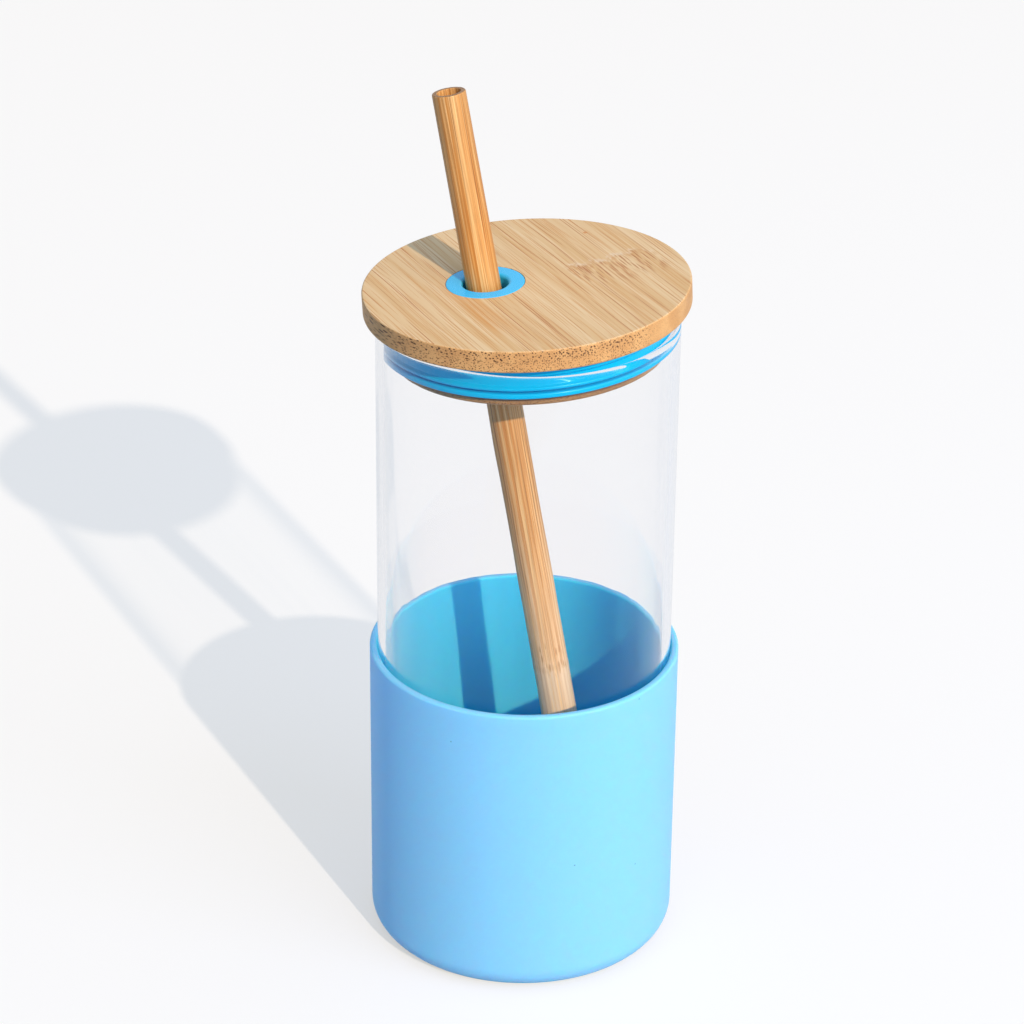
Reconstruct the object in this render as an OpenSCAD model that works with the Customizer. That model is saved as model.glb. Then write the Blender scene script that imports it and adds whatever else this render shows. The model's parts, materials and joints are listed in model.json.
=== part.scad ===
// Glass tumbler in a silicone sleeve, with a two-ply bamboo lid, its ring gasket,
// a soft straw grommet and a bamboo straw. All sizes are in millimetres.
// +Z is up, and the origin is the centre of the sleeve's flat underside.

/* [Glass tumbler] */
// Outside diameter of the straight glass wall
glass_d = 70; // [66:0.5:76]
// Thickness of the glass wall
glass_wall = 2; // [1.8:0.1:2.4]
// Height of the glass rim above the table
glass_rim_z = 160.2; // [120:0.1:170]
// Thickness of the glass floor
glass_floor = 4.5; // [3:0.1:8]
// Outside rounding between the wall and the underside
glass_foot_round = 4; // [3:0.1:5]
// Inside rounding between the wall and the floor
glass_heel_round = 5; // [3:0.1:8]

/* [Silicone sleeve] */
// Height of the sleeve
sleeve_h = 75.8; // [50:0.1:100]
// Thickness of the sleeve wall
sleeve_wall = 1.8; // [1.6:0.1:2.4]
// Thickness of the sleeve floor
sleeve_floor = 2; // [1.5:0.1:3]
// Rounding of the two edges of the sleeve rim
sleeve_rim_round = 0.6; // [0.3:0.1:0.7]
// Radial gap between the sleeve and the glass
sleeve_gap = 0.08; // [0.05:0.01:0.1]

/* [Bamboo lid] */
// How far the upper disc stands out past the glass
disc_overhang = 2.6; // [1:0.1:6]
// Thickness of the upper disc
disc_h = 5.2; // [4:0.1:8]
// Eased edge of the disc, top and bottom
disc_ease = 0.4; // [0.2:0.1:1.2]
// Gap between the plug's lower lip and the glass
plug_gap = 1.7; // [1.5:0.1:3]
// Depth of the plug below the disc
plug_h = 10.5; // [9.5:0.1:14]
// Depth of the gasket's seat behind the plug's lower lip
plug_seat_depth = 1.9; // [1:0.1:4]
// Gap between the glass rim and the middle of the disc's underside
lid_stand_off = 3.2; // [3:0.1:6]
// Tilt of the lid that raises its +X side
lid_tilt_side = 3.2; // [0:0.1:3.4]
// Tilt of the lid that raises its +Y side
lid_tilt_back = 1; // [0:0.1:1.2]

/* [Lid gasket] */
// Height of the gasket
gasket_h = 8.6; // [8.5:0.1:9]
// Gap between the two fins and the glass
gasket_gap = 0.55; // [0.5:0.05:1]
// How far the fins stand out from the smooth band above them
gasket_band_inset = 0.45; // [0.2:0.05:0.8]
// Depth of the grooves between the fins
gasket_groove_depth = 1.05; // [0.9:0.05:1.3]

/* [Straw grommet] */
// Diameter of the flush flange
grommet_d = 18.2; // [16.5:0.1:20]
// Thickness of the flange
grommet_flange_h = 2; // [1.5:0.1:2.5]
// Diameter of the barrel that lines the lid
grommet_barrel_d = 14; // [13.8:0.1:15]
// Length of the grommet, flange included
grommet_h = 6.5; // [5:0.1:8]
// Diameter of the straw hole
grommet_hole_d = 10.4; // [10.2:0.1:10.6]
// Rounding at both ends of the straw hole
grommet_lip = 0.8; // [0.5:0.1:0.8]
// Place of the grommet on the lid, along X
grommet_x = -9.4; // [-14:0.1:-8]
// Place of the grommet on the lid, along Y
grommet_y = 1.1; // [-4:0.1:4]

/* [Bamboo straw] */
// Length of the straw
straw_len = 208.6; // [190:0.1:230]
// Diameter at the drinking end
straw_top_d = 7.6; // [7:0.1:7.8]
// Diameter at the lower end
straw_foot_d = 8.8; // [8:0.1:8.8]
// Diameter of the bore
straw_bore_d = 5.4; // [4:0.1:6]
// Lean of the straw's top towards -X, in degrees
straw_lean_side = 9.96; // [8:0.01:11]
// Lean of the straw's top towards +Y, in degrees
straw_lean_back = 3.5; // [2:0.1:5]

/* [Hidden] */
$fn = 96;
cut = 1;
seat_gap = 0.05;

glass_r = glass_d / 2;
glass_bore_r = glass_r - glass_wall;
glass_foot_z = sleeve_floor;
glass_floor_z = glass_foot_z + glass_floor;

sleeve_bore_r = glass_r + sleeve_gap;
sleeve_r = sleeve_bore_r + sleeve_wall;
// the outer rounding follows the inner one at the wall's thickness
sleeve_foot_round = glass_foot_round + sleeve_wall;

disc_r = glass_r + disc_overhang;
plug_lip_r = glass_bore_r - plug_gap;
plug_core_r = plug_lip_r - plug_seat_depth;

// everything on the lid is measured from the middle of the disc's underside;
// the shift along X keeps the tilted gasket near the middle of the glass
gasket_middle = 6.6;
lid_side_shift = 0.17;
lid_place = [lid_side_shift - gasket_middle * sin(lid_tilt_side), 0, glass_rim_z + lid_stand_off];
lid_turn = [lid_tilt_back, -lid_tilt_side, 0];
function lid_point(p) =
    let (y1 = p[1] * cos(lid_turn[0]) - p[2] * sin(lid_turn[0]))
    let (z1 = p[1] * sin(lid_turn[0]) + p[2] * cos(lid_turn[0]))
    lid_place + [
        p[0] * cos(lid_turn[1]) + z1 * sin(lid_turn[1]),
        y1,
        z1 * cos(lid_turn[1]) - p[0] * sin(lid_turn[1])
    ];

fin_round = 0.5;
fin_upper_z = -5.8;
fin_lower_top_z = -6.9;
fin_lower_bottom_z = -8.2;

// the straw leans against the -X side of its hole and stands on the glass floor
straw_slope = [-tan(straw_lean_side), tan(straw_lean_back), 1];
straw_dir = straw_slope / norm(straw_slope);
straw_tilt = acos(straw_dir[2]);
straw_heading = atan2(straw_dir[1], straw_dir[0]);
straw_in_hole = [-0.7, 0.4, 0];
straw_at_lid = lid_point([grommet_x, grommet_y, disc_h] + straw_in_hole);
straw_foot_z = glass_floor_z + seat_gap + straw_foot_d / 2 * sin(straw_tilt);
straw_foot = straw_at_lid + straw_dir * (straw_foot_z - straw_at_lid[2]) / straw_dir[2];
straw_end_ease = 0.3;

// Half outline of a round cup or plug: radius r, from z0 up to z1, lower corner rounded
module cup_outline(r, z0, z1, corner) {
    translate([0, z0 + corner])
        square([r, z1 - z0 - corner]);
    translate([0, z0])
        square([r - corner, corner + cut / 2]);
    translate([r - corner, z0 + corner])
        circle(corner);
}

// Half outline of a disc of radius r and height h, both edges eased by a chamfer
module disc_outline(r, h, ease)
    polygon([[0, 0], [r - ease, 0], [r, ease], [r, h - ease], [r - ease, h], [0, h]]);

module lid_frame()
    translate(lid_place)
        rotate(lid_turn)
            children();

module at_grommet()
    translate([grommet_x, grommet_y, 0])
        children();

module silicone_sleeve() {
    rim_corner_z = sleeve_h - sleeve_rim_round;
    color("deepskyblue")
        rotate_extrude() {
            difference() {
                cup_outline(sleeve_r, 0, rim_corner_z, sleeve_foot_round);
                cup_outline(sleeve_bore_r, sleeve_floor, sleeve_h + cut, glass_foot_round + sleeve_gap);
            }
            // rim with two rounded edges and a flat between them
            for (r = [sleeve_bore_r + sleeve_rim_round, sleeve_r - sleeve_rim_round])
                translate([r, rim_corner_z])
                    circle(sleeve_rim_round);
            translate([sleeve_bore_r + sleeve_rim_round, rim_corner_z - cut])
                square([sleeve_wall - 2 * sleeve_rim_round, sleeve_rim_round + cut]);
        }
}

module glass_tumbler() {
    rim_round = glass_wall / 2;
    rim_middle_z = glass_rim_z - rim_round;
    color("lightcyan", 0.35)
        rotate_extrude() {
            difference() {
                cup_outline(glass_r, glass_foot_z, rim_middle_z, glass_foot_round);
                cup_outline(glass_bore_r, glass_floor_z, glass_rim_z + cut, glass_heel_round);
            }
            // fire-polished rim
            translate([glass_r - rim_round, rim_middle_z])
                circle(rim_round);
        }
}

module lid_disc() {
    flange_seat_z = disc_h - grommet_flange_h;
    color("burlywood")
        lid_frame()
            difference() {
                rotate_extrude()
                    disc_outline(disc_r, disc_h, disc_ease);
                at_grommet() {
                    translate([0, 0, -cut])
                        cylinder(d = grommet_barrel_d, h = disc_h + 2 * cut);
                    translate([0, 0, flange_seat_z])
                        cylinder(d = grommet_d, h = grommet_flange_h + cut);
                }
            }
}

module lid_plug() {
    lip_h = plug_h - gasket_h - seat_gap;
    lip_ease = min(disc_ease, lip_h / 4);
    color("tan")
        lid_frame()
            difference() {
                union() {
                    translate([0, 0, -plug_h])
                        cylinder(r = plug_core_r, h = plug_h);
                    translate([0, 0, -plug_h])
                        rotate_extrude()
                            disc_outline(plug_lip_r, lip_h, lip_ease);
                }
                at_grommet()
                    translate([0, 0, -plug_h - cut])
                        cylinder(d = grommet_barrel_d, h = plug_h + 2 * cut);
            }
}

module lid_gasket() {
    bore_r = plug_core_r + seat_gap;
    fin_r = glass_bore_r - gasket_gap;
    band_r = fin_r - gasket_band_inset;
    groove_r = fin_r - gasket_groove_depth;
    color("dodgerblue")
        lid_frame()
            rotate_extrude() {
                // body, then the smooth upper band with its rounded top edge
                translate([bore_r, -gasket_h])
                    square([groove_r - bore_r, gasket_h - seat_gap]);
                translate([bore_r, fin_upper_z])
                    square([band_r - bore_r, -fin_upper_z - seat_gap - fin_round]);
                translate([band_r - fin_round, -seat_gap - fin_round])
                    circle(fin_round);
                translate([groove_r - cut, -seat_gap - fin_round - cut])
                    square([band_r - fin_round - groove_r + cut, fin_round + cut]);
                // narrow upper fin
                translate([fin_r - fin_round, fin_upper_z])
                    circle(fin_round);
                translate([bore_r, fin_upper_z - fin_round])
                    square([fin_r - fin_round - bore_r, 2 * fin_round]);
                // broad lower fin
                for (z = [fin_lower_top_z - fin_round, fin_lower_bottom_z + fin_round])
                    translate([fin_r - fin_round, z])
                        circle(fin_round);
                translate([bore_r, fin_lower_bottom_z])
                    square([fin_r - fin_round - bore_r, fin_lower_top_z - fin_lower_bottom_z]);
                translate([bore_r, fin_lower_bottom_z + fin_round])
                    square([fin_r - bore_r, fin_lower_top_z - fin_lower_bottom_z - 2 * fin_round]);
            }
}

// The flange's top face is flush with the disc, and the barrel lines the hole below it
module straw_grommet() {
    hole_r = grommet_hole_d / 2;
    flange_r = grommet_d / 2 - seat_gap;
    barrel_r = grommet_barrel_d / 2 - seat_gap;
    bottom_z = disc_h - grommet_h;
    seat_z = disc_h - grommet_flange_h + seat_gap;
    color("skyblue")
        lid_frame()
            at_grommet()
                rotate_extrude() {
                    translate([hole_r, bottom_z + grommet_lip])
                        square([barrel_r - hole_r, grommet_h - 2 * grommet_lip]);
                    translate([hole_r + grommet_lip, bottom_z])
                        square([barrel_r - hole_r - grommet_lip, grommet_h]);
                    translate([hole_r + grommet_lip, seat_z])
                        square([flange_r - hole_r - grommet_lip, disc_h - seat_z]);
                    for (z = [bottom_z + grommet_lip, disc_h - grommet_lip])
                        translate([hole_r + grommet_lip, z])
                            circle(grommet_lip);
                }
}

// Hollow tapered cane, standing on the glass floor and leaning in the grommet
module bamboo_straw() {
    bore_r = straw_bore_d / 2;
    foot_r = straw_foot_d / 2;
    top_r = straw_top_d / 2;
    color("peru")
        translate(straw_foot)
            rotate([0, straw_tilt, straw_heading])
                difference() {
                    rotate_extrude()
                        polygon([
                            [0, 0],
                            [foot_r - straw_end_ease, 0],
                            [foot_r, straw_end_ease],
                            [top_r, straw_len - straw_end_ease],
                            [top_r - straw_end_ease, straw_len],
                            [0, straw_len]
                        ]);
                    translate([0, 0, -cut])
                        cylinder(r = bore_r, h = straw_len + 2 * cut);
                }
}

silicone_sleeve();
glass_tumbler();
lid_disc();
lid_plug();
lid_gasket();
straw_grommet();
bamboo_straw();
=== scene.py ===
"""Looks of a glass tumbler with a silicone sleeve, a bamboo lid and a bamboo straw.

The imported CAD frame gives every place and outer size. Each piece is a turned skin drawn through
rings, in millimetres, and sits in the frame of the CAD node that it replaces.
"""

import json
import math

import bpy
import numpy as np
from mathutils import Matrix, Vector


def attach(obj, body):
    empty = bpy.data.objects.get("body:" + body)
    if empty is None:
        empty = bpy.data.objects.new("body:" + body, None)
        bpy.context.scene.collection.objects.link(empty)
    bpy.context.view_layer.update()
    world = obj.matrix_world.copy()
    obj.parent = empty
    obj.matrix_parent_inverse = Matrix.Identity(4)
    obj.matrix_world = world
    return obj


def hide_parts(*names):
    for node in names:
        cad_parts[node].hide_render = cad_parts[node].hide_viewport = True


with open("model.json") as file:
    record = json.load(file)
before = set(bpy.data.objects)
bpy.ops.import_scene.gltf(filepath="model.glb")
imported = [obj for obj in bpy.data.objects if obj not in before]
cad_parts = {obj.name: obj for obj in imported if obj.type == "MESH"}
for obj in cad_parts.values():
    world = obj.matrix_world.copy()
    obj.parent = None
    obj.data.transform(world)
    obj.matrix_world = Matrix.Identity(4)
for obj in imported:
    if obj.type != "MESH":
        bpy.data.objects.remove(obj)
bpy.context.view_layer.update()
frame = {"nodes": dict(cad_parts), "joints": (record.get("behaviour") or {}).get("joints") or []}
MM = 0.001
UP = Vector((0, 0, 1))

# ---------------------------------------------------------------- places read from the CAD frame


def node_points(name):
    """All corners of a CAD node, as rows of x, y and z in metres."""
    mesh = frame["nodes"][name].data
    points = np.empty(len(mesh.vertices) * 3)
    mesh.vertices.foreach_get("co", points)
    return points.reshape(-1, 3)


def flat_normal(name):
    """Upward normal of a CAD node's flat top, weighted by area."""
    faces = frame["nodes"][name].data.polygons
    return sum((f.normal * f.area for f in faces if f.normal.z > 0.9), Vector()).normalized()


class Turned:
    """A round CAD node: its place, and its length and its corners' radii and heights in millimetres."""

    def __init__(self, node, axis=UP):
        z = Vector(axis).normalized()
        x = (Vector((1, 0, 0)) - z * z.x).normalized()
        turn = Matrix((x, z.cross(x), z)).transposed()
        local = node_points(node) @ np.array(turn)
        low, high = local.min(0), local.max(0)
        foot = Vector(((low[0] + high[0]) / 2, (low[1] + high[1]) / 2, low[2]))
        self.place = Matrix.Translation(turn @ foot) @ turn.to_4x4()
        local -= np.array(foot)
        self.r = np.hypot(local[:, 0], local[:, 1]) / MM
        self.z = local[:, 2] / MM
        self.length = self.z.max()

    def radii(self, low, high):
        """Smallest and largest radius between two shares of the length."""
        band = self.r[(self.z >= low * self.length - 1e-3) & (self.z <= high * self.length + 1e-3)]
        return band.min(), band.max()

    def floor(self, bore):
        """Height of the floor inside a cup whose wall has this bore."""
        return self.z[self.r < bore * 0.9].max()


lid_up = flat_normal("lid_disc")
straw_axis = next(j["axis"] for j in frame["joints"] if j["name"] == "straw_slide")
sleeve_cad = Turned("silicone_sleeve")
glass_cad = Turned("glass_tumbler")
disc_cad = Turned("lid_disc", lid_up)
plug_cad = Turned("lid_plug", lid_up)
gasket_cad = Turned("lid_gasket", lid_up)
grommet_cad = Turned("straw_grommet", lid_up)
straw_cad = Turned("bamboo_straw", straw_axis)
# Everything on the lid but the grommet is drawn from the middle of the disc's underside
lid_place = disc_cad.place
grommet_at = (lid_place.inverted() @ grommet_cad.place.translation) / MM
# Gap between the lid's pieces, and how deep the grommet's flange is let into the disc
SEAT_GAP = 0.05
FLANGE_DEPTH = 2.0

# ---------------------------------------------------------------- turned skins

ARC_STEP = math.radians(9)
# Distance from a corner's end to the nearest point on a straight
HOLD = 0.12


def rounded(corners, step, closed):
    """Points of an outline as (radius, height, off-centre share), in millimetres.

    A corner is (radius, height, rounding), or those and its off-centre share. Corners become arcs,
    and long straights get points every step millimetres and one close to each end."""
    corners = [tuple(c) + (0.0,) * (4 - len(c)) for c in corners]
    count = len(corners)
    arcs = []
    for i, (r, z, rounding, share) in enumerate(corners):
        here = Vector((r, z))
        if rounding == 0 or (not closed and i in (0, count - 1)):
            arcs.append([(r, z, share)])
            continue
        before = (Vector(corners[i - 1][:2]) - here).normalized()
        after = (Vector(corners[(i + 1) % count][:2]) - here).normalized()
        half = before.angle(after) / 2
        reach = rounding / math.tan(half)
        middle = here + (before + after).normalized() * (rounding / math.sin(half))
        start, end = here + before * reach - middle, here + after * reach - middle
        sweep = start.angle(end)
        steps = max(2, math.ceil(sweep / ARC_STEP))
        arc = []
        for k in range(steps + 1):
            t = k / steps
            spoke = (start * math.sin((1 - t) * sweep) + end * math.sin(t * sweep)) / math.sin(sweep)
            arc.append((*(middle + spoke), share))
        arcs.append(arc)
    points = []
    for i, arc in enumerate(arcs):
        points += arc
        if not closed and i == count - 1:
            break
        a, b = Vector(arc[-1]), Vector(arcs[(i + 1) % count][0])
        length = (b - a).xy.length
        if length < 4 * HOLD:
            continue
        inner = max(1, round(length / step))
        shares = [HOLD / length] + [k / inner for k in range(1, inner)] + [1 - HOLD / length]
        points += [tuple(a.lerp(b, s)) for s in shares]
    return points


def skin(name, outline, place, sides, closed=True, off_centre=(0, 0), shape=None):
    """A smooth mesh through rings about place's z axis.

    shape(angle, r, z) gives a ring's radii, heights and sideways shift, in millimetres."""
    angles = np.arange(sides) * 2 * math.pi / sides
    rows, faces, rings = [], [], []
    for r, z, share in outline:
        centre = np.array(off_centre) * share
        if r == 0:
            rings.append([len(rows)])
            rows.append((*centre, z))
            continue
        radii, heights = np.full(sides, r), np.full(sides, z)
        shift = np.zeros((sides, 2))
        if shape:
            radii, heights, shift = shape(angles, radii, heights)
        rings.append(list(range(len(rows), len(rows) + sides)))
        xs = centre[0] + shift[:, 0] + radii * np.cos(angles)
        ys = centre[1] + shift[:, 1] + radii * np.sin(angles)
        rows += list(zip(xs, ys, heights))
    for low, high in zip(rings, rings[1:] + rings[:1] if closed else rings[1:]):
        for k in range(sides):
            n = (k + 1) % sides
            if len(low) == 1:
                faces.append((low[0], high[n], high[k]))
            elif len(high) == 1:
                faces.append((low[k], low[n], high[0]))
            else:
                faces.append((low[k], low[n], high[n], high[k]))
    mesh = bpy.data.meshes.new(name)
    mesh.from_pydata([tuple(c * MM for c in row) for row in rows], [], faces)
    mesh.shade_smooth()
    piece = bpy.data.objects.new(name, mesh)
    bpy.context.scene.collection.objects.link(piece)
    piece.matrix_world = place
    return piece


# ---------------------------------------------------------------- node helpers


class Tree:
    """Short forms for the node tree of a material or a world.

    An input may be a number, a colour or another node's socket."""

    def __init__(self, owner):
        owner.use_nodes = True
        self.owner = owner
        self.nodes = owner.node_tree.nodes
        self.links = owner.node_tree.links
        self.nodes.clear()

    def add(self, kind, inputs=None, **settings):
        node = self.nodes.new("ShaderNode" + kind)
        for key, value in settings.items():
            setattr(node, key, value)
        for key, value in (inputs or {}).items():
            if isinstance(value, bpy.types.NodeSocket):
                self.links.new(value, node.inputs[key])
            else:
                node.inputs[key].default_value = value
        return node

    def math(self, operation, *values):
        return self.add("Math", dict(enumerate(values)), operation=operation).outputs[0]

    def times(self, product, *others):
        for other in others:
            product = self.math("MULTIPLY", product, other)
        return product

    def plus(self, total, *others):
        for other in others:
            total = self.math("ADD", total, other)
        return total

    def fade(self, value, low, high, to_low=0.0, to_high=1.0):
        """Smooth step of value from low to high."""
        limits = {"From Min": low, "From Max": high, "To Min": to_low, "To Max": to_high}
        return self.add("MapRange", {"Value": value, **limits}, interpolation_type="SMOOTHSTEP").outputs[0]

    def near(self, value, place, full, gone):
        """1 up to full away from place, fading to 0 at gone."""
        away = self.math("ABSOLUTE", self.math("SUBTRACT", value, place))
        return self.fade(away, full, gone, 1.0, 0.0)

    def mix(self, factor, a, b):
        """Colour a where factor is 0, and b where it is 1. Sockets 6, 7 and output 2 are the colour ones."""
        return self.add("Mix", {0: factor, 6: a, 7: b}, data_type="RGBA").outputs[2]

    def blend(self, factor, a, b):
        """Shader a where factor is 0, and b where it is 1."""
        return self.add("MixShader", {0: factor, 1: a, 2: b}).outputs[0]

    def millimetres(self, turn=0.0):
        """The piece's own coordinates in millimetres, turned about its axis."""
        local = self.add("TexCoord").outputs["Object"]
        scaled = self.add("VectorMath", {0: local, "Scale": 1 / MM}, operation="SCALE").outputs[0]
        return self.add("VectorRotate", {"Vector": scaled, "Angle": -turn}, rotation_type="Z_AXIS").outputs[0]

    def split(self, vector):
        return self.add("SeparateXYZ", {"Vector": vector}).outputs

    def stretch(self, point, scale):
        return self.add("VectorMath", {0: point, 1: scale}, operation="MULTIPLY").outputs[0]

    def noise(self, point, scale=1.0, detail=2.0, roughness=0.5):
        inputs = {"Vector": point, "Scale": scale, "Detail": detail, "Roughness": roughness}
        return self.add("TexNoise", inputs).outputs["Fac"]

    def cells(self, point, scale=1.0):
        """Distance to the nearest of many scattered points."""
        return self.add("TexVoronoi", {"Vector": point, "Scale": scale}).outputs["Distance"]

    def bump(self, height, strength, distance):
        """distance in millimetres"""
        inputs = {"Height": height, "Strength": strength, "Distance": distance * MM}
        return self.add("Bump", inputs).outputs[0]

    def finish(self, shader, output="OutputMaterial"):
        self.add(output, {"Surface": shader})
        return self.owner


def colour(red, green, blue):
    """Linear colour from display values of 0 to 255."""
    def linear(value):
        value /= 255
        return value / 12.92 if value <= 0.04045 else ((value + 0.055) / 1.055) ** 2.4
    return (linear(red), linear(green), linear(blue), 1.0)


# ---------------------------------------------------------------- materials


def silicone(name, base, roughness, scatter, painted_shade_below=None, painted_light_lining=None):
    """Moulded silicone: a fine matt bloom and a few specks of dust. Blue light travels furthest inside it.

    painted_shade_below colours what is below the piece's own zero a deeper blue, painted shade under the lid;
    painted_light_lining is a radius and the clearer, brighter blue inside it, painted light for the light
    that fills the bore."""
    t = Tree(bpy.data.materials.new(name))
    point = t.millimetres()
    fine = t.noise(point, 6.0, 3, 0.6)
    bloom = tuple(c * 0.7 + 0.3 for c in base[:3]) + (1,)
    shade = t.mix(t.fade(fine, 0.3, 0.7, 0.0, 0.10), base, bloom)
    dust = t.fade(t.cells(point, 0.13), 0.025, 0.04, 0.55, 0.0)
    shade = t.mix(dust, shade, colour(40, 100, 140))
    # painted shade: below the piece's own zero, under the lid, the blue is deeper
    if painted_shade_below:
        below = t.fade(t.split(point)["Z"], -0.2, 0.1, 1.0, 0.0)
        shade = t.mix(below, shade, painted_shade_below)
    # painted light: inside the radius the blue is clearer and brighter than outside, standing in for the
    # light that fills the bore
    if painted_light_lining:
        radius, painted_light_blue = painted_light_lining
        flat = t.add("VectorMath", {0: t.stretch(point, (1, 1, 0))}, operation="LENGTH").outputs["Value"]
        shade = t.mix(t.fade(flat, radius, radius + 0.5, 1.0, 0.0), shade, painted_light_blue)
    surface = t.add("BsdfPrincipled", {
        "Base Color": shade, "Roughness": t.fade(fine, 0.25, 0.75, roughness - 0.05, roughness + 0.07),
        "IOR": 1.43, "Specular IOR Level": 0.4, "Specular Tint": (0.5, 0.75, 1.0, 1),
        "Subsurface Weight": scatter, "Subsurface Radius": (0.1, 0.7, 1.0), "Subsurface Scale": 4 * MM,
        "Normal": t.bump(fine, 0.10, 0.02),
    })
    return t.finish(surface.outputs[0])


def clear_glass():
    """Blown clear glass with faint upright waviness.

    Lamps reach what is inside it. Light that the wall has mirrored once leaves it straight, as the
    wall would otherwise trap it."""
    t = Tree(bpy.data.materials.new("clear_glass"))
    point = t.millimetres()
    wave = t.noise(t.stretch(point, (1, 1, 0.12)), 0.09, 1.5)
    surface = t.add("BsdfPrincipled", {
        "Base Color": (0.972, 0.974, 0.980, 1), "Roughness": 0.0, "IOR": 1.48, "Transmission Weight": 1.0,
        "Specular Tint": (0.16, 0.32, 0.40, 1), "Normal": t.bump(wave, 0.12, 1.0),
    })
    streak = t.noise(t.stretch(point, (0.5, 0.5, 0.01)))
    clear = t.mix(t.fade(streak, 0.35, 0.65), (0.99, 0.99, 0.99, 1), (0.93, 0.935, 0.94, 1))
    facing = t.add("LayerWeight", {"Blend": 0.5}).outputs["Facing"]
    shadow = t.mix(t.fade(facing, 0.35, 1.0), clear, (0.55, 0.57, 0.60, 1))

    def straight(tint):
        return t.add("BsdfTransparent", {"Color": tint}).outputs[0]

    path = t.add("LightPath").outputs
    look = t.blend(path["Is Reflection Ray"], surface.outputs[0], straight((0.98, 0.985, 0.985, 1)))
    look = t.blend(path["Is Diffuse Ray"], look, straight((0.985, 0.99, 0.995, 1)))
    look = t.blend(path["Is Shadow Ray"], look, straight(shadow))
    return t.finish(look)


# The board's grain, as a turn of the lid's own frame, and the side of its edge that shows end grain
GRAIN_TURN = math.radians(-64)
END_SIDE = (-0.26, -0.97)
# Across and along the grain, in millimetres: an amber stripe, the knuckle's stretch, and a small knot
AMBER_ACROSS, AMBER_ALONG = -15.6, 7.0
KNUCKLE_NEAR, KNUCKLE_FAR, KNUCKLE_ALONG = 10.0, 34.0, -9.5
KNOT_AT = (-18.8, 24.3, 5.2)


def board_knuckle(t, point, axes):
    """Where the canes' knuckle crosses the board's face: its pale band, partly the knuckle's own paler fibre
    and partly painted highlight on its raised ridge, the painted shadow along one side of the band, and the
    stretch of short marks past it."""
    slow = t.times(t.noise(t.stretch(point, (0.02, 0.30, 0.1)), 1.0, 1), 8.0)
    quick = t.times(t.noise(t.stretch(point, (0.25, 0.9, 0.1)), 1.0, 3, 0.6), 5.0)
    along = t.math("SUBTRACT", axes["X"], t.plus(slow, quick, KNUCKLE_ALONG))
    near_end = t.fade(axes["Y"], KNUCKLE_NEAR, KNUCKLE_NEAR + 2.5)
    far_end = t.fade(axes["Y"], KNUCKLE_FAR - 3.0, KNUCKLE_FAR, 1.0, 0.0)
    wide = t.times(near_end, far_end)
    torn = t.noise(t.stretch(point, (0.6, 1.1, 0.3)))
    # the pale band: partly the knuckle's own paler fibre, partly painted highlight on its ridge
    band = t.times(wide, t.near(along, 0.0, 0.2, 1.5), t.fade(torn, 0.38, 0.62, 0.15, 1.0))
    # painted shadow along one side of the ridge
    painted_shadow = t.times(wide, t.near(along, 1.2, 0.3, 2.2), t.fade(torn, 0.40, 0.60, 1.0, 0.0))
    past = t.times(wide, t.fade(along, -1.0, 1.6), t.fade(along, 8.0, 16.0, 1.0, 0.0))
    return band, painted_shadow, past


def board_wall(t, grain, axes, broad, hairline, end):
    """Colour of the board's edge, and its pores: coarse near the top of the disc and small near its
    underside. The plug, below the disc, is painted darker as shade from the disc and the gasket, darkest just
    under the gasket's fin."""
    wall = t.mix(t.fade(broad, 0.35, 0.65), colour(216, 166, 108), colour(204, 152, 96))
    wall = t.mix(t.times(hairline, 0.5), wall, colour(160, 112, 66))
    coarse = t.cells(t.stretch(grain, (0.2, 1.75, 1.75)))
    small = t.cells(t.stretch(grain, (0.3, 2.7, 2.7)))
    halo = t.times(t.fade(coarse, 0.30, 0.44, 0.45, 0.0), end)
    wall = t.mix(halo, wall, colour(228, 176, 116))
    high = t.fade(axes["Z"], 1.0, 4.4)
    large_pore = t.times(t.fade(coarse, 0.27, 0.38, 1.0, 0.0), t.fade(high, 0.1, 0.7, 0.1, 1.0))
    small_pore = t.times(t.fade(small, 0.26, 0.40, 1.0, 0.0), t.fade(high, 0.0, 1.0, 0.85, 0.35))
    pore = t.times(t.math("MAXIMUM", large_pore, small_pore), end)
    wall = t.mix(pore, wall, colour(84, 54, 32))
    # painted shade: the plug under the disc and the gasket is darkened, most just below the gasket's fin
    plug = t.times(t.fade(axes["Z"], -1.0, -0.2, 1.0, 0.0), t.fade(axes["Z"], -9.6, -9.0, 0.5, 0.9))
    return t.mix(plug, wall, colour(92, 56, 30)), pore


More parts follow.
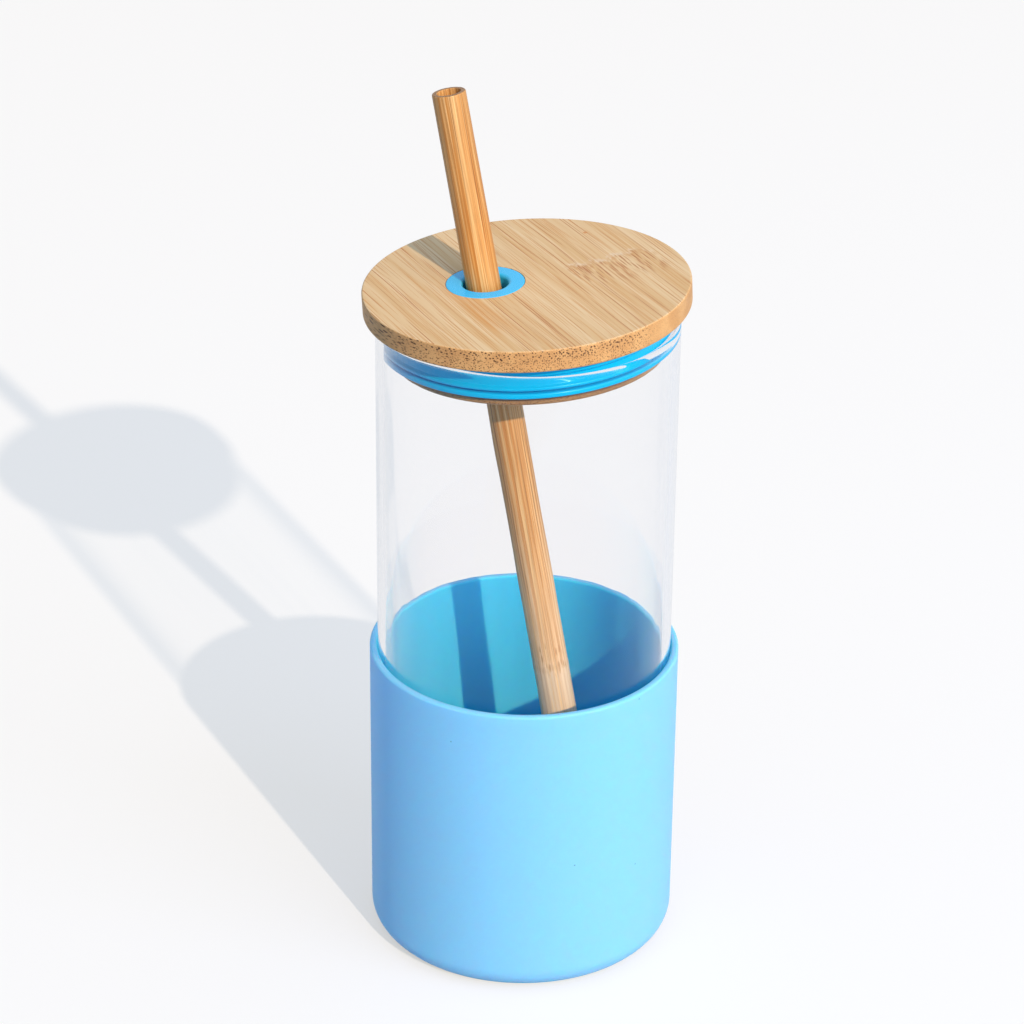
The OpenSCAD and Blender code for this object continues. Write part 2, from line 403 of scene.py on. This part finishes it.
def board_bamboo(name):
    """Pressed bamboo board. Its fibre bundles show as lines on a face and as pores on an end."""
    t = Tree(bpy.data.materials.new(name))
    point = t.millimetres(GRAIN_TURN)
    drift = t.noise(t.stretch(point, (0.02, 0.04, 0.04)), 1.0, 1)
    sway = t.add("CombineXYZ", {"Y": t.times(t.math("SUBTRACT", drift, 0.5), 1.2)}).outputs[0]
    grain = t.add("VectorMath", {0: point, 1: sway}, operation="ADD").outputs[0]
    axes = t.split(grain)
    normal = t.split(t.add("TexCoord").outputs["Normal"])
    side = t.fade(t.math("ABSOLUTE", normal["Z"]), 0.5, 0.9, 1.0, 0.0)
    facing = t.plus(t.times(normal["X"], END_SIDE[0]), t.times(normal["Y"], END_SIDE[1]))
    end = t.times(side, t.fade(t.math("ABSOLUTE", facing), 0.35, 0.62))

    broad = t.noise(t.stretch(grain, (0.008, 0.22, 0.22)))
    light = t.noise(t.stretch(grain, (0.02, 1.3, 1.3)))
    face = t.mix(t.fade(broad, 0.35, 0.68), colour(228, 193, 145), colour(218, 176, 122))
    face = t.mix(t.fade(light, 0.52, 0.7, 0.0, 0.5), face, colour(238, 209, 168))
    amber = t.times(t.near(axes["Y"], AMBER_ACROSS, 0.8, 3.6), t.near(axes["X"], AMBER_ALONG, 8.0, 20.0))
    face = t.mix(t.times(amber, t.fade(light, 0.35, 0.6, 1.0, 0.2)), face, colour(212, 142, 70))

    cluster = t.fade(t.noise(t.stretch(grain, (0.015, 0.5, 0.5))), 0.38, 0.62, 0.35, 1.0)
    line = t.times(t.fade(t.cells(t.stretch(grain, (0.018, 2.2, 2.2))), 0.22, 0.32, 1.0, 0.0), cluster)
    hairline = t.fade(t.cells(t.stretch(grain, (0.03, 3.5, 3.5))), 0.24, 0.36, 0.9, 0.0)
    band, painted_shadow, past = board_knuckle(t, point, axes)
    mark = t.times(t.fade(t.cells(t.stretch(grain, (0.14, 2.3, 2.3))), 0.26, 0.46, 1.0, 0.0), past)
    face = t.mix(t.times(hairline, 0.9), face, colour(206, 142, 78))
    face = t.mix(t.times(line, 0.95), face, colour(184, 114, 56))
    face = t.mix(t.times(mark, 0.95), face, colour(184, 120, 68))
    # painted shadow beside the knuckle's ridge
    face = t.mix(t.times(painted_shadow, 0.55), face, colour(204, 148, 90))
    # the knuckle's pale band, partly painted highlight on its ridge
    face = t.mix(t.times(band, 0.5), face, colour(236, 212, 182))
    from_knot = t.add("VectorMath", {0: point, 1: KNOT_AT}, operation="DISTANCE").outputs["Value"]
    face = t.mix(t.fade(from_knot, 0.3, 0.75, 0.8, 0.0), face, colour(206, 130, 60))

    wall, pore = board_wall(t, grain, axes, broad, hairline, end)
    dents = t.plus(t.times(line, 0.14), t.times(hairline, 0.06), t.times(mark, 0.5), pore)
    height = t.plus(t.math("SUBTRACT", 1.5, dents), t.times(band, 0.5))
    surface = t.add("BsdfPrincipled", {
        "Base Color": t.mix(side, face, wall), "Roughness": t.fade(light, 0.3, 0.7, 0.5, 0.62),
        "IOR": 1.45, "Specular IOR Level": 0.35, "Normal": t.bump(height, 0.3, 0.08),
    })
    return t.finish(surface.outputs[0])


def cane_bamboo(name, knuckle):
    """Whole bamboo cane: golden skin with long streaks and dark threads, paler lower down and palest
    below the knuckle, with short marks above the knuckle and pores on the cut ends."""
    t = Tree(bpy.data.materials.new(name))
    point = t.millimetres()
    along = t.split(point)["Z"]
    broad = t.noise(t.stretch(point, (0.30, 0.30, 0.012)))
    base = t.mix(t.fade(broad, 0.32, 0.66), colour(222, 172, 110), colour(204, 144, 78))
    pale = t.fade(t.plus(along, t.times(broad, 60.0)), 80.0, 150.0, 0.95, 0.0)
    base = t.mix(pale, base, colour(240, 208, 168))
    lower = t.fade(along, knuckle - 2.0, knuckle + 4.0, 1.0, 0.0)
    base = t.mix(t.times(lower, 0.6), base, colour(238, 216, 188))

    strong = t.math("SUBTRACT", 1.0, t.times(pale, 0.55))
    strong = t.times(strong, t.math("SUBTRACT", 1.0, t.times(lower, 0.45)))
    streak = t.noise(t.stretch(point, (2.4, 2.4, 0.015)), 1.0, 3, 0.6)
    base = t.mix(t.times(t.fade(streak, 0.46, 0.60, 0.0, 0.8), strong), base, colour(188, 118, 48))
    bright = t.noise(t.stretch(point, (2.6, 2.6, 0.02)))
    base = t.mix(t.fade(bright, 0.54, 0.66, 0.0, 0.6), base, colour(240, 198, 138))
    thread = t.fade(t.cells(t.stretch(point, (1.7, 1.7, 0.012))), 0.15, 0.32, 0.8, 0.0)
    thread = t.times(thread, t.fade(streak, 0.35, 0.6, 0.35, 1.0), strong)
    base = t.mix(thread, base, colour(134, 84, 40))
    fine = t.noise(t.stretch(point, (5.0, 5.0, 0.08)), 1.0, 3, 0.6)
    base = t.mix(t.times(t.fade(fine, 0.42, 0.68, 0.0, 0.45), strong), base, colour(160, 112, 64))

    nick = t.fade(t.cells(t.stretch(point, (1.3, 1.3, 0.30))), 0.18, 0.42, 0.6, 0.0)
    base = t.mix(t.times(nick, t.near(along, knuckle + 3.0, 2.0, 5.5)), base, colour(178, 124, 76))
    scar = t.near(along, t.plus(t.times(broad, 3.0), knuckle - 1.0), 0.2, 1.2)
    base = t.mix(t.times(scar, 0.2), base, colour(190, 146, 100))

    normal = t.split(t.add("TexCoord").outputs["Normal"])
    end = t.fade(t.math("ABSOLUTE", normal["Z"]), 0.5, 0.8)
    base = t.mix(t.times(end, 0.8), base, colour(150, 112, 78))
    pore = t.fade(t.cells(t.stretch(point, (2.2, 2.2, 0.05))), 0.2, 0.4, 0.85, 0.0)
    base = t.mix(t.times(pore, end), base, colour(80, 56, 38))
    surface = t.add("BsdfPrincipled", {
        "Base Color": base, "Roughness": t.fade(fine, 0.3, 0.7, 0.4, 0.55), "IOR": 1.47,
        "Specular IOR Level": 0.3, "Normal": t.bump(t.plus(t.times(fine, 0.5), streak), 0.35, 0.08),
    })
    return t.finish(surface.outputs[0])


# ---------------------------------------------------------------- pieces


def dress(piece, material, body, node):
    piece.data.materials.append(material)
    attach(piece, body)
    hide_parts(node)


def make_sleeve():
    bore, outer = sleeve_cad.radii(0.9, 1)
    floor, height = sleeve_cad.floor(bore), sleeve_cad.length
    corners = [
        (0, 0, 0), (outer, 0, 5.8), (outer, height, 0.6),
        (bore, height, 0.6), (bore, floor, 4.1), (0, floor, 0),
    ]
    piece = skin("sleeve_skin", rounded(corners, 3, False), sleeve_cad.place, sides=192, closed=False)
    # painted light: the clearer, brighter blue inside the bore, standing in for the light that fills the cup,
    # reaches just past the surface of the bore
    painted_light_lining = (bore + 0.05, (0.09, 0.62, 1.0, 1))
    rubber = silicone("sleeve_silicone", (0.23, 0.58, 1.0, 1), 0.5, 0.8, painted_light_lining=painted_light_lining)
    dress(piece, rubber, "sleeve", "silicone_sleeve")


def make_glass():
    bore, outer = glass_cad.radii(0.9, 1)
    floor, height = glass_cad.floor(bore), glass_cad.length
    # the two roundings of the rim nearly meet in the middle of the 2 mm wall
    corners = [
        (0, 0, 0), (outer, 0, 4), (outer, height, 0.98),
        (bore, height, 0.98), (bore, floor, 5), (0, floor, 0),
    ]
    piece = skin("glass_wall", rounded(corners, 4, False), glass_cad.place, sides=256, closed=False)
    dress(piece, clear_glass(), "glass", "glass_tumbler")


def make_lid(board):
    """The disc and the plug, each with a hole for the grommet that is off the lid's own centre."""
    hole = grommet_at.xy
    barrel = grommet_cad.radii(0, 0.1)[1] + SEAT_GAP
    flange = grommet_cad.r.max() + SEAT_GAP
    rim, height = disc_cad.r.max(), disc_cad.length
    seat = height - FLANGE_DEPTH
    corners = [
        (barrel, 0, 0.2, 1), (rim, 0, 0.5), (rim, height, 0.4),
        (flange, height, 0.12, 1), (flange, seat, 0, 1), (barrel, seat, 0.1, 1),
    ]
    disc = skin("lid_disc_board", rounded(corners, 2.5, True), lid_place, sides=192, off_centre=hole)
    dress(disc, board, "lid", "lid_disc")
    foot, lip, core = -plug_cad.length, plug_cad.r.max(), plug_cad.radii(0.9, 1)[1]
    lip_top = -gasket_cad.length - 2 * SEAT_GAP
    corners = [
        (barrel, foot, 0.3, 1), (lip, foot, 0.5), (lip, lip_top, 0.35),
        (core, lip_top, 0.1), (core, 0, 0), (barrel, 0, 0, 1),
    ]
    plug = skin("lid_plug_board", rounded(corners, 2.5, True), lid_place, sides=192, off_centre=hole)
    dress(plug, board, "lid", "lid_plug")


def make_gasket(rubber):
    """From below: a broad fin, a narrow fin, a waist and a smooth band, on a ring round the plug."""
    fin, bore = gasket_cad.r.max(), gasket_cad.r.min()
    waist, groove = fin - 0.6, 31.4
    top = -SEAT_GAP
    foot = top - gasket_cad.length
    broad_low, broad_top, narrow_low, narrow_top = -8.2, -6.9, -6.3, -5.5
    waist_low, waist_top, band_low = -5.2, -3.4, -2.8
    glass_bore = glass_cad.radii(0.9, 1)[0]
    to_glass = np.array(glass_cad.place.inverted() @ lid_place)

    def pressed(angle, r, z):
        """Fins and band spread until they meet the glass, more firmly on the right than on the left."""
        share = np.clip((r - groove) / (fin - groove) * 2, 0, 1)
        wide = r.copy()
        for _ in range(4):
            local = np.stack([wide * np.cos(angle) * MM, wide * np.sin(angle) * MM, z * MM, np.ones_like(z)])
            seen = (to_glass @ local) / MM
            away = np.hypot(seen[0], seen[1])
            target = glass_bore + 0.01 + 0.05 * np.cos(angle) - (fin - r)
            wide = wide * target / away
        return r + share * (wide - r), z, np.zeros((len(r), 2))

    corners = [
        (bore, foot, 0.2), (groove, foot, 0.15), (groove, broad_low, 0), (fin, broad_low, 0.45),
        (fin, broad_top, 0.45), (groove, broad_top, 0.12), (groove, narrow_low, 0.12),
        (fin, narrow_low, 0.45), (fin, narrow_top, 0.30), (waist, waist_low, 0.3),
        (waist, waist_top, 0.4), (fin, band_low, 0.4), (fin, top, 0.5), (bore, top, 0.1),
    ]
    gasket = skin("gasket_ring", rounded(corners, 1.2, True), lid_place, sides=192, shape=pressed)
    dress(gasket, rubber, "lid", "lid_gasket")


def make_grommet(rubber):
    hole, barrel, flange = grommet_cad.r.min(), grommet_cad.radii(0, 0.1)[1], grommet_cad.r.max()
    height = grommet_cad.length
    seat = height - FLANGE_DEPTH + SEAT_GAP
    corners = [
        (hole, 0, 0.8), (barrel, 0, 0.3), (barrel, seat, 0),
        (flange, seat, 0.1), (flange, height, 0.25), (hole, height, 0.85),
    ]
    grommet = skin("grommet_bush", rounded(corners, 1.5, True), grommet_cad.place, sides=128)
    dress(grommet, rubber, "lid", "straw_grommet")


def make_straw():
    length = straw_cad.length
    bore = straw_cad.r.min()
    foot, top = straw_cad.radii(0, 0.1)[1], straw_cad.radii(0.9, 1)[1]
    knuckle = 66.0
    corners = [(bore, 0, 0.15), (foot, 0, 0.3), (top, length, 0.3), (bore, length, 0.2)]

    def grown(angle, r, z):
        """Slightly oval, faintly ribbed and bowed, with a ridge and a groove at the knuckle."""
        def bell(place, width):
            return np.exp(-(((z - place) / width) ** 2))

        skin_share = np.clip((r - bore) / 0.5, 0, 1)
        oval = 0.05 * np.cos(2 * angle + 0.6)
        ribs = 0.022 * np.sin(9 * angle + 0.01 * z)
        ribs += 0.014 * np.sin(17 * angle + 1.7) + 0.012 * np.sin(26 * angle + 0.4)
        ridge = 0.07 * bell(knuckle, 1.3) - 0.04 * bell(knuckle + 2.0, 0.6)
        bow = 0.35 * np.sin(np.pi * z / length)
        shift = np.stack([bow * 0.4, bow], axis=1)
        return r + skin_share * (oval + ribs + ridge - 0.06), z, shift

    piece = skin("straw_cane", rounded(corners, 1.4, True), straw_cad.place, sides=120, shape=grown)
    dress(piece, cane_bamboo("cane_bamboo", knuckle), "straw", "bamboo_straw")


# ---------------------------------------------------------------- stage, light and camera

# Bearings are seen from the middle of the floor, and distances are in metres
SUN_SIDE, SUN_HEIGHT, SUN_AWAY = math.radians(-62.9), math.radians(30.3), 2.0
WINDOW_SIDE, WINDOW_HEIGHT, WINDOW_AWAY = math.radians(-40), math.radians(27), 1.6
SOFT_SIDE = (0.55, -0.45, 0.70)
FLOOR_HALF = 10.0
CAMERA_AT = (0, -0.72404, 0.47195)
CAMERA_YAW, CAMERA_PITCH, CAMERA_ROLL = math.radians(-0.255), math.radians(26.55), math.radians(0.616)


def make_stage():
    """A pale floor that shows evenly lit, but gives the pieces the light of a plainer, darker one."""
    ends = (-FLOOR_HALF, FLOOR_HALF)
    mesh = bpy.data.meshes.new("floor")
    mesh.from_pydata([(x, y, 0) for y in ends for x in ends], [], [(0, 1, 3, 2)])
    floor = bpy.data.objects.new("floor", mesh)
    bpy.context.scene.collection.objects.link(floor)
    t = Tree(bpy.data.materials.new("pale_floor"))
    plain = t.add("BsdfDiffuse", {"Color": (0.20, 0.27, 0.40, 1)}).outputs[0]
    soft = t.add("BsdfDiffuse", {"Color": (0.41, 0.42, 0.48, 1)}).outputs[0]
    glow = t.add("Emission", {"Color": (0.555, 0.520, 0.420, 1), "Strength": 1.0}).outputs[0]
    shown = t.add("AddShader", {0: soft, 1: glow}).outputs[0]
    path = t.add("LightPath").outputs
    mirrored = t.blend(t.times(path["Is Reflection Ray"], 0.15), shown, plain)
    floor.data.materials.append(t.finish(t.blend(path["Is Diffuse Ray"], mirrored, plain)))


def hang(light, side, height, away):
    """Place a light at a bearing and height seen from the floor's middle, facing it."""
    towards = Vector((math.cos(height) * math.cos(side), math.cos(height) * math.sin(side), math.sin(height)))
    turn = towards.to_track_quat("Z", "Y").to_matrix().to_4x4()
    lamp = bpy.data.objects.new(light.name, light)
    lamp.matrix_world = Matrix.Translation(towards * away) @ turn
    bpy.context.scene.collection.objects.link(lamp)


def make_lights():
    sun = bpy.data.lights.new("key", "SUN")
    sun.energy = 3.0
    sun.angle = math.radians(0.9)
    sun.color = (1.0, 0.80, 0.54)
    hang(sun, SUN_SIDE, SUN_HEIGHT, SUN_AWAY)
    window = bpy.data.lights.new("window", "AREA")
    window.energy = 13.0
    window.size = 1.3
    window.color = (0.66, 0.80, 1.0)
    hang(window, WINDOW_SIDE, WINDOW_HEIGHT, WINDOW_AWAY)


def make_world():
    """Soft light on matt surfaces, bluer and dimmer away from SOFT_SIDE. All else sees a pale room."""
    world = bpy.data.worlds.new("soft_light")
    t = Tree(world)
    around = t.add("TexCoord").outputs["Generated"]
    lean = t.add("VectorMath", {0: around, 1: SOFT_SIDE}, operation="DOT_PRODUCT").outputs["Value"]
    soft = t.mix(t.fade(lean, -1.0, 1.0), (0.17, 0.32, 0.52, 1), (0.46, 0.59, 0.79, 1))
    shown = t.mix(t.add("LightPath").outputs["Is Diffuse Ray"], (0.86, 0.88, 0.90, 1), soft)
    t.finish(t.add("Background", {"Color": shown, "Strength": 1.0}).outputs[0], "OutputWorld")
    bpy.context.scene.world = world


def make_camera():
    yaw, pitch, roll = CAMERA_YAW, CAMERA_PITCH, CAMERA_ROLL
    forward = Vector((math.sin(yaw) * math.cos(pitch), math.cos(yaw) * math.cos(pitch), -math.sin(pitch)))
    level = Vector((math.cos(yaw), -math.sin(yaw), 0))
    above = level.cross(forward)
    right = level * math.cos(roll) + above * math.sin(roll)
    top = above * math.cos(roll) - level * math.sin(roll)
    data = bpy.data.cameras.new("camera")
    data.sensor_width = 36
    data.lens = 121.24
    data.clip_end = 50
    camera = bpy.data.objects.new("camera", data)
    turn = Matrix((right, top, -forward)).transposed().to_4x4()
    camera.matrix_world = Matrix.Translation(CAMERA_AT) @ turn
    bpy.context.scene.collection.objects.link(camera)
    bpy.context.scene.camera = camera


board = board_bamboo("board_bamboo")
# the gasket, below the lid's zero, is painted a deeper blue as shade under the lid; the grommet above keeps
# the plain blue
seal_rubber = silicone("seal_silicone", (0.03, 0.52, 0.90, 1), 0.24, 0.0, painted_shade_below=(0.0, 0.46, 0.78, 1))
make_sleeve()
make_glass()
make_lid(board)
make_gasket(seal_rubber)
make_grommet(seal_rubber)
make_straw()
make_stage()
make_lights()
make_world()
make_camera()
bpy.context.scene.view_settings.view_transform = "Standard"
